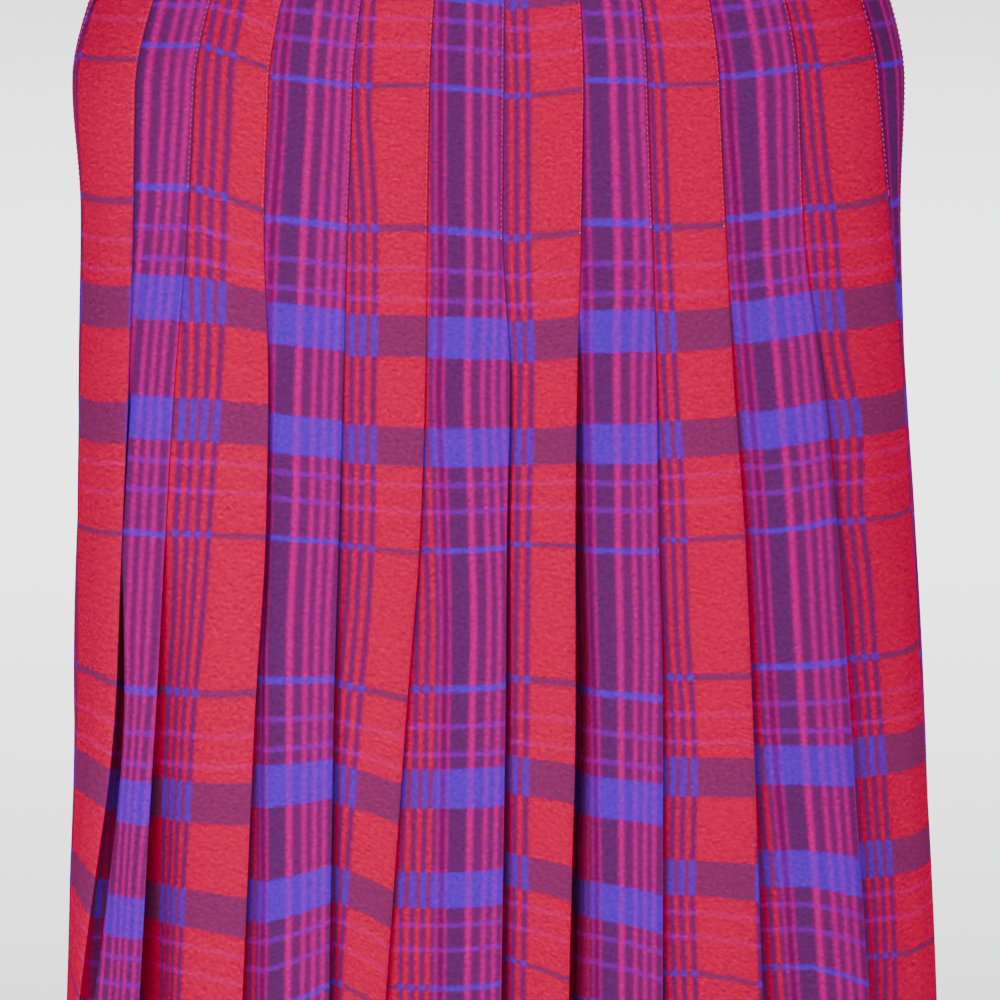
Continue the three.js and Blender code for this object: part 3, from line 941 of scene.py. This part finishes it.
def check_material(context):
    """The cloth's material."""
    return shared("check_cloth", cloth_material, context.scene.skirt_cloth)


def thread_of(context):
    """The thread's material."""
    return shared("edge_thread", thread_material, tuple(context.scene.skirt_sewing.thread))


# ---- Stage ----

LOOK_AT_MM = (2.6, -86.0, -383.6)
LIGHTS_AIM = (0, -0.05, -0.5)
FLOOR_LEVEL = -0.76
FLOOR_SIZE = 120.0

# Each lamp's name, place, aim, size and power setting, in metres
LIGHTS = (
    ("key_light", (-0.45, -1.35, -0.6), LIGHTS_AIM, 0.7, "key_power"),
    ("fill_light", (1.6, -2.4, -0.45), LIGHTS_AIM, 1.8, "fill_power"),
    ("floor_light", (0, 3.2, 2.4), (0, 3.3, FLOOR_LEVEL), 4.0, "floor_power"),
)


def set_up(name, data, place, turn):
    """A camera or lamp in the studio."""
    item = bpy.data.objects.new(name, data)
    bpy.context.collection.objects.link(item)
    item.location = place
    item.rotation_euler = turn
    return item


def area_light(name, place, target, size, power):
    """A soft square light that faces a target."""
    data = bpy.data.lights.new(name, "AREA")
    data.shape = "SQUARE"
    data.size = size
    data.energy = power
    turn = (Vector(target) - Vector(place)).to_track_quat("-Z", "Y").to_euler()
    set_up(name, data, place, turn).visible_camera = False


class SKIRT_OT_stage(bpy.types.Operator):
    """Adds the camera, the floor and the soft studio light"""

    bl_idname = "skirt.stage"
    bl_label = "Camera, floor and light"

    def execute(self, context):
        settings = context.scene.skirt_stage
        lift = settings.view_lift
        back = Vector((0, -math.cos(lift), math.sin(lift)))
        data = bpy.data.cameras.new("front_view")
        data.lens = data.sensor_width * settings.view_distance / settings.view_width
        place = Vector(LOOK_AT_MM) * MM + back * settings.view_distance
        context.scene.camera = set_up("front_view", data, place, (math.pi / 2 - lift, 0, 0))

        deselect_all()
        bpy.ops.mesh.primitive_plane_add(size=FLOOR_SIZE, location=(0, 0, 0))
        floor = context.object
        floor.name = "floor"
        floor.data.transform(Matrix.Translation((0, 0, FLOOR_LEVEL)))
        paper, _, _ = new_material(
            "floor_paper", Base_Color=(*settings.floor, 1), Roughness=1.0, Specular_IOR_Level=0.0
        )
        floor.data.materials.append(paper)

        world = bpy.data.worlds.new("studio")
        world.use_nodes = True
        surround = world.node_tree.nodes["Background"]
        surround.inputs["Color"].default_value = (1, 1, 1, 1)
        surround.inputs["Strength"].default_value = settings.surround
        context.scene.world = world

        for name, place, aim, size, power in LIGHTS:
            area_light(name, place, aim, size, getattr(settings, power))
        return {"FINISHED"}


# ---- Pleated panels ----

PANELS = (
    ("pleated_front", "front_panel", "front_cloth", 0, FRONT_PLEATS),
    ("pleated_back", "back_panel", "back_cloth", FRONT_PLEATS, PLEAT_COUNT - FRONT_PLEATS),
)


def panel_row(level, first, count, settings):
    """The places and the cloth of one row of a panel, in mm."""
    outline = Outline(level)
    run = pleat_run(level, outline, first, count, settings)
    rounds, outs, cloth, drop = (line[: 1 - TURN_STEPS] for line in run)
    plan = outline.place(rounds, outs + wave_height(level, rounds, settings))
    places = np.column_stack([plan, np.full(len(plan), level)])
    return places, np.column_stack([cloth, -level - drop])


class SKIRT_OT_panels(bpy.types.Operator):
    """Builds the pleated front and back in place of their solids"""

    bl_idname = "skirt.panels"
    bl_label = "Pleated panels"

    def execute(self, context):
        settings = context.scene.skirt_shape
        length = (SKIRT_LENGTH_MM + PLEAT_TOP_MM) * MM
        row_count = round(length / settings.row_spacing) + 1
        levels = np.linspace(PLEAT_TOP_MM, -SKIRT_LENGTH_MM, row_count)
        for name, node, slot, first, count in PANELS:
            rows = [panel_row(level, first, count, settings) for level in levels]
            piece = new_sheet(name, rows, settings.cloth_wall)
            finish_piece(piece, check_material(context))
            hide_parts(node)
        return {"FINISHED"}


# ---- Waistband, tab and button ----

BAND_INNER_MM = -CAD_CLOTH_MM / 2 - SEAM_GAP_MM - BAND_WALL_MM
BAND_OUTER_MM = (
    (2 + 2 * LARGEST_UNDERLAY) * LAYER_STEP_MM + CAD_CLOTH_MM / 2 + SEAM_GAP_MM + BAND_WALL_MM
)
BAND_CORNER_MM = 2.2
BAND_LEG_ROWS = 9
BAND_TURN_ROWS = 5
BAND_STATIONS = 361
BAND_SLACK_MM = 0.05
BAND_CHECK_TOP_MM = 345.0
TAB_INNER_MM = BAND_OUTER_MM + SEAM_GAP_MM
TAB_OUTER_MM = TAB_INNER_MM + TAB_THICKNESS_MM
TAB_LENGTH_MM = TAB_SEWN_MM + TAB_FREE_MM
TAB_ROWS = 13
TAB_TIP_MM = 8
TAB_CORNER_MM = 7.0
TAB_END_MM = 0.02
TAB_STATIONS, TAB_TIP_STATIONS = 40, 16
TAB_TIP_CURVE, TAB_EDGE_CURVE = 0.6, 8
TAB_SLACK_MM = 0.8
TAB_CROWN_MM = 0.35
TAB_CHECK_MM = (31, 352)


def opening_distance():
    """Where the skirt opens at the waist, in the front's last underlay."""
    outline = Outline(-BAND_HEIGHT_MM)
    pleats = pleats_at(-BAND_HEIGHT_MM, outline)
    last = FRONT_PLEATS - 1
    return outline, pleats["edge"][last] - CAD_CLOTH_MM / 2 - pleats["underlay"][last]


def band_profile():
    """The band's middle line across: up the outside, over the top and down the inside."""
    outer = BAND_OUTER_MM - BAND_WALL_MM / 2
    inner = BAND_INNER_MM + BAND_WALL_MM / 2
    top = -BAND_WALL_MM / 2
    leg = np.linspace(-BAND_HEIGHT_MM, top - BAND_CORNER_MM, BAND_LEG_ROWS)[:-1]
    turn = np.linspace(0, np.pi / 2, BAND_TURN_ROWS)
    rise = top - BAND_CORNER_MM * (1 - np.sin(turn))
    reach = BAND_CORNER_MM * (1 - np.cos(turn))
    out = np.concatenate([np.full(len(leg), outer), outer - reach])
    back = np.concatenate([inner + reach[::-1], np.full(len(leg), inner)])
    up = np.concatenate([leg, rise])
    return np.column_stack([np.concatenate([out, back]), np.concatenate([up, up[::-1]])])


class SKIRT_OT_waistband(bpy.types.Operator):
    """Builds the folded waistband in place of its solid"""

    bl_idname = "skirt.waistband"
    bl_label = "Waistband"

    def execute(self, context):
        outline, start = opening_distance()
        heights, levels = band_profile().T
        across = np.concatenate([[0], np.cumsum(np.hypot(np.diff(heights), np.diff(levels)))])
        end = start + outline.length - SEAM_GAP_MM
        rows = []
        for distance in np.linspace(start + SEAM_GAP_MM, end, BAND_STATIONS):
            along = np.full(len(heights), distance)
            places = np.column_stack([outline.place(along, heights), levels])
            rows.append((places, np.column_stack([along, BAND_CHECK_TOP_MM + across])))
        piece = new_sheet("folded_waistband", rows, (BAND_WALL_MM - BAND_SLACK_MM) * MM, True)
        finish_piece(piece, check_material(context))
        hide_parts("waistband")
        return {"FINISHED"}


class SKIRT_OT_closing_tab(bpy.types.Operator):
    """Builds the buttoned tab in place of its solid"""

    bl_idname = "skirt.closing_tab"
    bl_label = "Closing tab"

    def execute(self, context):
        outline, opening = opening_distance()
        start = opening - TAB_SEWN_MM
        tip = TAB_LENGTH_MM - TAB_TIP_MM
        stations = np.concatenate([
            np.linspace(0, tip, TAB_STATIONS)[:-1],
            TAB_LENGTH_MM - TAB_TIP_MM * (1 - np.linspace(0, 1, TAB_TIP_STATIONS) ** TAB_TIP_CURVE),
        ])
        stations[-1] = TAB_LENGTH_MM - TAB_END_MM
        edges = np.abs(np.linspace(-1, 1, TAB_ROWS)) ** TAB_EDGE_CURVE
        height = (TAB_INNER_MM + TAB_OUTER_MM) / 2 - TAB_CROWN_MM * edges
        rows = []
        for along in stations:
            past = max(0.0, along - (TAB_LENGTH_MM - TAB_CORNER_MM))
            corner = TAB_CORNER_MM - math.sqrt(max(0.0, TAB_CORNER_MM**2 - past**2))
            half = TAB_HEIGHT_MM / 2 - corner
            levels = np.linspace(half, -half, TAB_ROWS) - BAND_HEIGHT_MM / 2
            distance = np.full(TAB_ROWS, start + along)
            places = np.column_stack([outline.place(distance, height), levels])
            cloth = np.column_stack([distance + TAB_CHECK_MM[0], TAB_CHECK_MM[1] - levels])
            rows.append((places, cloth))
        piece = new_sheet("buttoned_tab", rows, (TAB_THICKNESS_MM - TAB_SLACK_MM) * MM)
        finish_piece(piece, check_material(context))
        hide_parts("closing_tab")
        return {"FINISHED"}


BUTTON_RADIUS_MM = 8.0
BUTTON_THICKNESS_MM = 3.0
BUTTON_SIDES = 64
HOLE_RADIUS_MM = 0.85
HOLE_REACH_MM = 1.7
HOLE_SIDES = 20

# The button's rim, slope and dish: how far each is inset, and how far it then sinks
BUTTON_RINGS_MM = ((1.5, 0), (0.9, 0.9), (1.2, 0.15))
BUTTON_ROUNDING_MM = 0.5
ROUNDED_ANGLE = math.radians(40)
SMOOTH_ANGLE = math.radians(35)
FACES_FRONT = 0.9


def button_frame():
    """The button's middle on its seat in mm, the direction out of it and the one along."""
    outline, opening = opening_distance()
    distance = opening + TAB_FREE_MM / 2
    seat = TAB_OUTER_MM + SEAM_GAP_MM
    place, outward = standing(outline, distance, seat, -BAND_HEIGHT_MM / 2)
    return place, outward, np.array([*outline.along(np.array(distance)), 0.0])


class SKIRT_OT_button(bpy.types.Operator):
    """Models the dished four-hole button in place of its solid"""

    bl_idname = "skirt.button"
    bl_label = "Tab button"

    def execute(self, context):
        deselect_all()
        bpy.ops.mesh.primitive_cylinder_add(
            vertices=BUTTON_SIDES, radius=BUTTON_RADIUS_MM * MM, depth=BUTTON_THICKNESS_MM * MM,
            location=(0, 0, BUTTON_THICKNESS_MM / 2 * MM),
        )
        button = context.object
        button.name = "moulded_button"
        bpy.ops.object.transform_apply(location=True, rotation=True, scale=True)
        self.shape_front(button)
        shape_with(
            button, "BEVEL", width=BUTTON_ROUNDING_MM * MM, segments=3, limit_method="ANGLE",
            angle_limit=ROUNDED_ANGLE,
        )
        for number in range(4):
            self.cut_hole(context, button, math.pi / 4 + number * math.pi / 2)
        place, outward, along = button_frame()
        axes = [Vector(along), Vector((0, 0, 1)), Vector(outward)]
        turn = Matrix(axes).transposed().to_4x4()
        if turn.determinant() < 0:
            turn = Matrix((-axes[0], *axes[1:])).transposed().to_4x4()
        button.data.transform(Matrix.Translation(Vector(place) * MM) @ turn)
        colour = tuple(context.scene.skirt_sewing.button)
        finish_piece(button, shared("button_plastic", button_material, colour))
        pick_only(button)
        bpy.ops.object.shade_smooth_by_angle(angle=SMOOTH_ANGLE)
        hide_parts("tab_button")
        return {"FINISHED"}

    def shape_front(self, button):
        """Leaves a rim round the button's front face and sinks a dish inside it."""
        bpy.ops.object.mode_set(mode="EDIT")
        bpy.context.tool_settings.mesh_select_mode = (False, False, True)
        bpy.ops.mesh.select_all(action="DESELECT")
        bpy.ops.object.mode_set(mode="OBJECT")
        for face in button.data.polygons:
            face.select = face.normal.z > FACES_FRONT and len(face.vertices) > 4
        bpy.ops.object.mode_set(mode="EDIT")
        for inset, depth in BUTTON_RINGS_MM:
            bpy.ops.mesh.inset(thickness=inset * MM)
            bpy.ops.transform.translate(value=(0, 0, -depth * MM))
        bpy.ops.object.mode_set(mode="OBJECT")

    def cut_hole(self, context, button, angle):
        """Cuts one of the four thread holes."""
        deselect_all()
        reach = HOLE_REACH_MM * MM
        bpy.ops.mesh.primitive_cylinder_add(
            vertices=HOLE_SIDES, radius=HOLE_RADIUS_MM * MM, depth=3 * BUTTON_THICKNESS_MM * MM,
            location=(math.cos(angle) * reach, math.sin(angle) * reach, 0),
        )
        cutter = context.object
        shape_with(button, "BOOLEAN", operation="DIFFERENCE", solver="EXACT", object=cutter)
        bpy.data.objects.remove(cutter, do_unlink=True)


# ---- Stitches ----

STITCH_SIDES = 6

# Rings of one stitch: the share along it, its girth, and its lift, by the thread's width
STITCH_RINGS = (
    (0.0, 0.35, -0.5), (0.18, 0.9, 0.25), (0.5, 1.0, 0.5), (0.82, 0.9, 0.25), (1.0, 0.35, -0.5)
)
EDGE_STITCHES = ("front_edge_stitches", "back_edge_stitches")
STITCHED_FROM_MM = 1.5
STITCH_LEVELS = 24
STITCH_MARGIN_MM = 2
TACK_OFFSETS_MM = (-0.3, 0.0, 0.3)
TACK_LIFT_MM = 0.1
TACK_SHARE = 0.75
BAND_ROWS_MM = (-BAND_HEIGHT_MM + 2, -3.5)
BAND_ENDS_MM = (2, 3)
TAB_INSET_MM = 2
TAB_SINK_MM = 0.42

# The rows across the tab, at its sewn end, the opening and its tip: how far along from there each
# lies, and how far it stays from the tab's edges
CROSS_ROWS_MM = ((2, 3), (-2, 3), (-2.2, 5.5))
BUTTON_THREAD_MM = 0.5
THREAD_OFFSETS_MM = (-0.25, 0.25)
THREAD_DEPTH_MM = 1.0
DOWN = np.array([0.0, 0.0, -1.0])


def stitch_mesh(name, stitches, width):
    """Stitches as one mesh. Each is (start, end, outward) in mm; its ends sink into the cloth."""
    vertices, faces = [], []
    angles = 2 * np.pi * np.arange(STITCH_SIDES) / STITCH_SIDES
    side = np.arange(STITCH_SIDES)
    following = (side + 1) % STITCH_SIDES
    for start, end, outward in stitches:
        forward = (end - start) / np.linalg.norm(end - start)
        sideways = np.cross(forward, outward)
        base = len(vertices)
        for share, girth, lift in STITCH_RINGS:
            middle = start + (end - start) * share + outward * lift * width
            for angle in angles:
                reach = sideways * math.cos(angle) + outward * math.sin(angle)
                vertices.append(middle + girth * width / 2 * reach)
        rings = base + STITCH_SIDES * np.arange(len(STITCH_RINGS))
        for upper, lower in zip(rings, rings[1:]):
            quads = (upper + side, upper + following, lower + following, lower + side)
            faces += np.stack(quads, axis=-1).tolist()
        faces += [(base + side[::-1]).tolist(), (rings[-1] + side).tolist()]
    return new_piece(name, np.array(vertices), faces)


def face_place(level, index, inset_mm, shape):
    """A place on the outside of a pleat's face, inset from its fold, and the way out of it."""
    outline = Outline(level)
    rounds, outs, _, _ = pleat_run(level, outline, index, 1, shape)
    line = slice(FIRST_SHOWING, FACE_POINTS)
    distance = pleats_at(level, outline)["edge"][index] - inset_mm
    height = float(np.interp(distance, rounds[line], outs[line]))
    height += float(wave_height(level, np.array([distance]), shape)[0])
    return standing(outline, distance, height + shape.cloth_wall / MM / 2, level)


def edge_stitches(index, shape, sewing):
    """The stitches along one fold, from the waistband down to where the fold is let go."""
    length = sewing.stitch_length / MM
    stop = fold_sizes(index)[-1]
    lines = np.linspace(-BAND_HEIGHT_MM, stop - STITCH_MARGIN_MM, STITCH_LEVELS)
    places = [face_place(level, index, sewing.edge_inset / MM, shape) for level in lines]
    points, outwards = (np.array(values).T for values in zip(*places))

    def between(level, values):
        """The values at a level, from those at the lines."""
        return np.array([np.interp(-level, -lines, row) for row in values])

    stitches = []
    top = -BAND_HEIGHT_MM - STITCHED_FROM_MM
    for level in np.arange(top, stop + length, -sewing.stitch_pitch / MM):
        outward = between(level, outwards)
        ends = (between(level, points), between(level - length, points))
        stitches.append((*ends, outward / np.linalg.norm(outward)))
    return stitches


def tack(stitches, length):
    """A short thick back stitch that locks a row's end."""
    _, end, outward = stitches[-1]
    side = np.cross(DOWN, outward)
    starts = [end + side * offset + outward * TACK_LIFT_MM for offset in TACK_OFFSETS_MM]
    return [(start, start + DOWN * length * TACK_SHARE, outward) for start in starts]


class SKIRT_OT_edge_stitching(bpy.types.Operator):
    """Sews the folds' edges down to where the pleats are let go"""

    bl_idname = "skirt.edge_stitching"
    bl_label = "Edge stitches"

    def execute(self, context):
        sewing = context.scene.skirt_sewing
        for (_, _, slot, first, count), name in zip(PANELS, EDGE_STITCHES):
            stitches = []
            for index in range(first, first + count):
                line = edge_stitches(index, context.scene.skirt_shape, sewing)
                stitches += line + tack(line, sewing.stitch_length / MM)
            piece = stitch_mesh(name, stitches, sewing.stitch_width / MM)
            finish_piece(piece, thread_of(context))
        return {"FINISHED"}


def level_stitches(distances, level, height, outline, length):
    """Stitches along the waistband or tab at one level."""
    stitches = []
    for distance in distances:
        start, end = (standing(outline, distance + step, height, level)[0] for step in (0, length))
        stitches.append((start, end, standing(outline, distance + length / 2, height, level)[1]))
    return stitches


class SKIRT_OT_band_stitching(bpy.types.Operator):
    """Sews the waistband's and the tab's edges, and the button's thread"""

    bl_idname = "skirt.band_stitching"
    bl_label = "Waistband, tab and button stitches"

    def execute(self, context):
        sewing = context.scene.skirt_sewing
        pitch = sewing.stitch_pitch / MM
        length = sewing.stitch_length / MM
        width = sewing.stitch_width / MM
        outline, opening = opening_distance()
        first, last = BAND_ENDS_MM
        turns = np.arange(opening + first, opening + outline.length - last, pitch)
        band = []
        for level in BAND_ROWS_MM:
            band += level_stitches(turns, level, BAND_OUTER_MM, outline, length)

        start = opening - TAB_SEWN_MM
        end = opening + TAB_FREE_MM
        middle = -BAND_HEIGHT_MM / 2
        surface = TAB_OUTER_MM - TAB_SINK_MM
        tab = []
        for side in (-1, 1):
            level = middle + side * (TAB_HEIGHT_MM / 2 - TAB_INSET_MM)
            run = np.arange(start + TAB_INSET_MM, end - TAB_CORNER_MM, pitch)
            tab += level_stitches(run, level, surface, outline, length)
        for place, (step, short) in zip((start, opening, end), CROSS_ROWS_MM):
            distance = place + step
            reach = TAB_HEIGHT_MM / 2 - short
            for level in np.arange(middle + reach, middle - reach + length, -pitch):
                top, outward = standing(outline, distance, surface, level)
                tab.append((top, top + DOWN * length, outward))

        place, outward, along = button_frame()
        base = place + outward * (BUTTON_THICKNESS_MM - THREAD_DEPTH_MM)
        reach = HOLE_REACH_MM / math.sqrt(2)
        button = []
        for side in (-1, 1):
            for offset in THREAD_OFFSETS_MM:
                middle = base - DOWN * (side * reach + offset)
                button.append((middle - along * reach, middle + along * reach, outward))

        for name, stitches, girth, slot in (
            ("waistband_stitches", band, width, "band_cloth"),
            ("tab_stitches", tab, width, "tab_cloth"),
            ("button_thread", button, BUTTON_THREAD_MM, "button"),
        ):
            finish_piece(stitch_mesh(name, stitches, girth), thread_of(context))
        return {"FINISHED"}


# ---- Panel and registration ----

OPERATORS = (
    SKIRT_OT_stage,
    SKIRT_OT_waistband,
    SKIRT_OT_panels,
    SKIRT_OT_closing_tab,
    SKIRT_OT_button,
    SKIRT_OT_edge_stitching,
    SKIRT_OT_band_stitching,
)
SETTINGS = {
    "skirt_shape": SkirtShapeSettings,
    "skirt_sewing": SkirtSewingSettings,
    "skirt_cloth": SkirtClothSettings,
    "skirt_stage": SkirtStageSettings,
}


class SKIRT_PT_panel(bpy.types.Panel):
    """Lists the skirt's operators and settings"""

    bl_idname = "SKIRT_PT_panel"
    bl_label = "Pleated skirt"
    bl_space_type = "VIEW_3D"
    bl_region_type = "UI"
    bl_category = "Skirt"

    def draw(self, context):
        for operator in OPERATORS:
            self.layout.operator(operator.bl_idname)
        for name in SETTINGS:
            group = getattr(context.scene, name)
            box = self.layout.box()
            for label in group.__annotations__:
                box.prop(group, label)


def register():
    """Registers the settings, operators and panel."""
    for name, settings in SETTINGS.items():
        bpy.utils.register_class(settings)
        setattr(bpy.types.Scene, name, PointerProperty(type=settings))
    for part in (*OPERATORS, SKIRT_PT_panel):
        bpy.utils.register_class(part)


def unregister():
    """Removes the settings, operators and panel."""
    for part in (SKIRT_PT_panel, *reversed(OPERATORS)):
        bpy.utils.unregister_class(part)
    for name, settings in SETTINGS.items():
        delattr(bpy.types.Scene, name)
        bpy.utils.unregister_class(settings)


def main():
    register()
    bpy.ops.skirt.stage()
    bpy.ops.skirt.waistband()
    bpy.ops.skirt.panels()
    bpy.ops.skirt.closing_tab()
    bpy.ops.skirt.button()
    bpy.ops.skirt.edge_stitching()
    bpy.ops.skirt.band_stitching()


if __name__ == "__main__":
    main()
